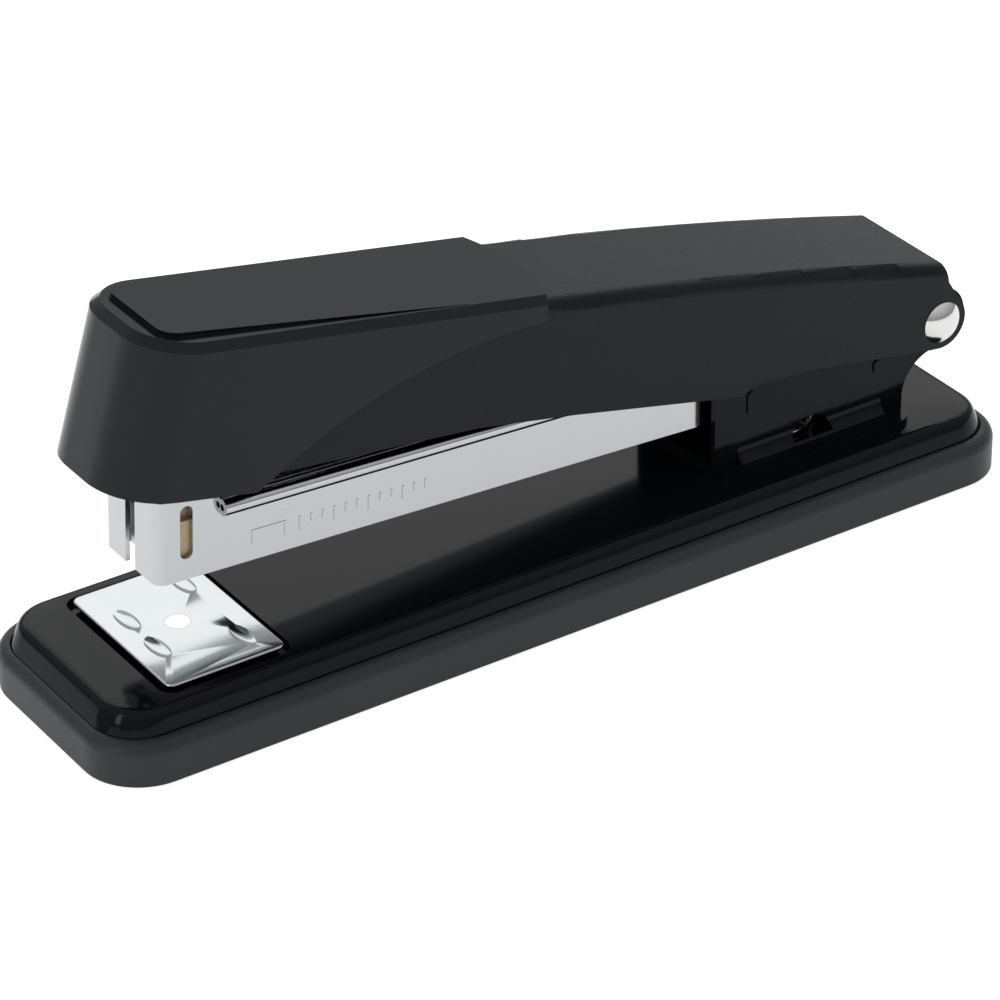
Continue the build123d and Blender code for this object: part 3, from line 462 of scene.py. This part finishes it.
# ---- pieces --------------------------------------------------------------------------------
class STAPLER_OT_shells(bpy.types.Operator):
    """Break the edges of the pressed and moulded shells"""
    bl_idname = "stapler.shells"
    bl_label = "Shells"

    def execute(self, context):
        edge = context.scene.stapler_sizes.edge_break
        for node, factor in SHELLS:
            softened(node, edge * factor)
        return {"FINISHED"}


class STAPLER_OT_springs(bpy.types.Operator):
    """Wind the four springs"""
    bl_idname = "stapler.springs"
    bl_label = "Springs"

    def execute(self, context):
        sizes = context.scene.stapler_sizes
        piece, foot = upright_spring("return_spring", sizes.return_wire, RETURN_TURNS, 10, 36)
        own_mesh(piece)
        piece, foot = upright_spring("anvil_spring", sizes.anvil_wire, ANVIL_TURNS, 8, 30)
        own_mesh(piece)
        low, high = corners("press_spring")
        width = high.y - low.y
        length = (high.z - low.z - width * abs(MAGAZINE_UP.x)) / MAGAZINE_UP.z
        foot = (low + high) / 2 - MAGAZINE_UP * (length / 2)
        piece = wire_spring("press_spring", width, sizes.press_wire, PRESS_TURNS,
                            foot, MAGAZINE_UP, length, 10, 32)
        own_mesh(piece)
        low, high = corners("pusher_spring")
        width = high.y - low.y
        length = (high.x - low.x - width * abs(MAGAZINE_AXIS.z)) / MAGAZINE_AXIS.x
        rear = (low + high) / 2 + MAGAZINE_AXIS * (length / 2)
        piece = wire_spring("pusher_spring", width, sizes.pusher_wire, PUSHER_TURNS,
                            rear, -MAGAZINE_AXIS, length, 6, 16)
        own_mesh(piece)
        return {"FINISHED"}


class STAPLER_OT_kept_nodes(bpy.types.Operator):
    """Give every CAD node its finish"""
    bl_idname = "stapler.kept_nodes"
    bl_label = "Kept pieces"

    def execute(self, context):
        for name, node in frame["nodes"].items():
            node.data.materials.clear()
            node.data.materials.append(finish(slot_of(name)))
        return {"FINISHED"}


# ---- stage ---------------------------------------------------------------------------------
def look_from(target, distance, azimuth, elevation, roll):
    """Camera matrix that looks at target, with its angles in degrees."""
    a, e, r = (math.radians(v) for v in (azimuth, elevation, roll))
    back = Vector((math.sin(a) * math.cos(e), -math.cos(a) * math.cos(e), math.sin(e)))
    side = Vector((math.cos(a), math.sin(a), 0))
    top = back.cross(side)
    right = side * math.cos(r) + top * math.sin(r)
    up = top * math.cos(r) - side * math.sin(r)
    turn = Matrix((right, up, back)).transposed().to_4x4()
    return Matrix.Translation(Vector(target) + back * distance) @ turn


def soft_light(name, place, target, size, power):
    """Area light at place, facing target."""
    data = bpy.data.lights.new(name, "AREA")
    data.shape = "RECTANGLE"
    data.size, data.size_y = size
    data.energy = power
    lamp = bpy.data.objects.new(name, data)
    bpy.context.scene.collection.objects.link(lamp)
    lamp.location = place
    lamp.rotation_euler = (Vector(target) - Vector(place)).to_track_quat("-Z", "Y").to_euler()


def studio_sky():
    """World that is bright overhead and greyer at the horizon."""
    world = bpy.data.worlds.new("studio")
    bpy.context.scene.world = world
    world.use_nodes = True
    tree = world.node_tree
    place = tree.nodes.new("ShaderNodeTexCoord")
    parts = tree.nodes.new("ShaderNodeSeparateXYZ")
    ramp = tree.nodes.new("ShaderNodeValToRGB")
    horizon, overhead = ramp.color_ramp.elements
    horizon.position = 0.0
    horizon.color = SKY_HORIZON
    overhead.position = SKY_RISE
    overhead.color = SKY_OVERHEAD
    link(tree, place.outputs["Generated"], parts.inputs["Vector"])
    link(tree, parts.outputs["Z"], ramp.inputs["Fac"])
    link(tree, ramp.outputs["Color"], tree.nodes["Background"].inputs["Color"])
    tree.nodes["Background"].inputs["Strength"].default_value = SKY_STRENGTH


def floor_material():
    """Matt floor with a glow of its own, so that it fades into the sky."""
    material = bpy.data.materials.new("pale_floor")
    material.use_nodes = True
    shader = material.node_tree.nodes["Principled BSDF"]
    shader.inputs["Base Color"].default_value = FLOOR_TONE
    shader.inputs["Roughness"].default_value = 0.9
    shader.inputs["Specular IOR Level"].default_value = 0.0
    shader.inputs["Emission Color"].default_value = (1, 1, 1, 1)
    shader.inputs["Emission Strength"].default_value = FLOOR_GLOW
    return material


class STAPLER_OT_stage(bpy.types.Operator):
    """Set up the floor, the light and the camera"""
    bl_idname = "stapler.stage"
    bl_label = "Stage"

    def execute(self, context):
        studio_sky()
        bpy.ops.mesh.primitive_plane_add(size=FLOOR_SIZE, location=(0, 0, -FLOOR_DROP))
        floor = bpy.context.object
        floor.name = "studio_floor"
        floor.data.materials.append(floor_material())
        for light in LIGHTS:
            soft_light(*light)
        context.scene.view_settings.view_transform = "Standard"
        lens = bpy.data.cameras.new("camera")
        lens.lens = CAMERA_LENS
        lens.sensor_width = CAMERA_SENSOR
        lens.clip_start = CAMERA_NEAR
        camera = bpy.data.objects.new("camera", lens)
        context.scene.collection.objects.link(camera)
        camera.matrix_world = look_from(
            CAMERA_TARGET, CAMERA_DISTANCE, CAMERA_AZIMUTH, CAMERA_ELEVATION, CAMERA_ROLL)
        context.scene.camera = camera
        return {"FINISHED"}


# ---- panel and start -----------------------------------------------------------------------
class STAPLER_PT_panel(bpy.types.Panel):
    """Sizes, colours and build steps of the stapler"""
    bl_idname = "STAPLER_PT_panel"
    bl_label = "Desktop Stapler"
    bl_space_type = "VIEW_3D"
    bl_region_type = "UI"
    bl_category = "Stapler"

    def draw(self, context):
        for group in (context.scene.stapler_sizes, context.scene.stapler_finishes):
            for label in group.__annotations__:
                self.layout.prop(group, label)
        for operator in OPERATORS:
            self.layout.operator(operator.bl_idname)


OPERATORS = (STAPLER_OT_kept_nodes, STAPLER_OT_shells, STAPLER_OT_springs, STAPLER_OT_stage)
CLASSES = (StaplerFinishes, StaplerSizes, *OPERATORS, STAPLER_PT_panel)


def register():
    for item in CLASSES:
        bpy.utils.register_class(item)
    bpy.types.Scene.stapler_finishes = bpy.props.PointerProperty(type=StaplerFinishes)
    bpy.types.Scene.stapler_sizes = bpy.props.PointerProperty(type=StaplerSizes)


def unregister():
    del bpy.types.Scene.stapler_sizes
    del bpy.types.Scene.stapler_finishes
    for item in reversed(CLASSES):
        bpy.utils.unregister_class(item)


def main():
    register()
    bpy.ops.stapler.kept_nodes()
    bpy.ops.stapler.shells()
    bpy.ops.stapler.springs()
    bpy.ops.stapler.stage()


if __name__ == "__main__":
    main()
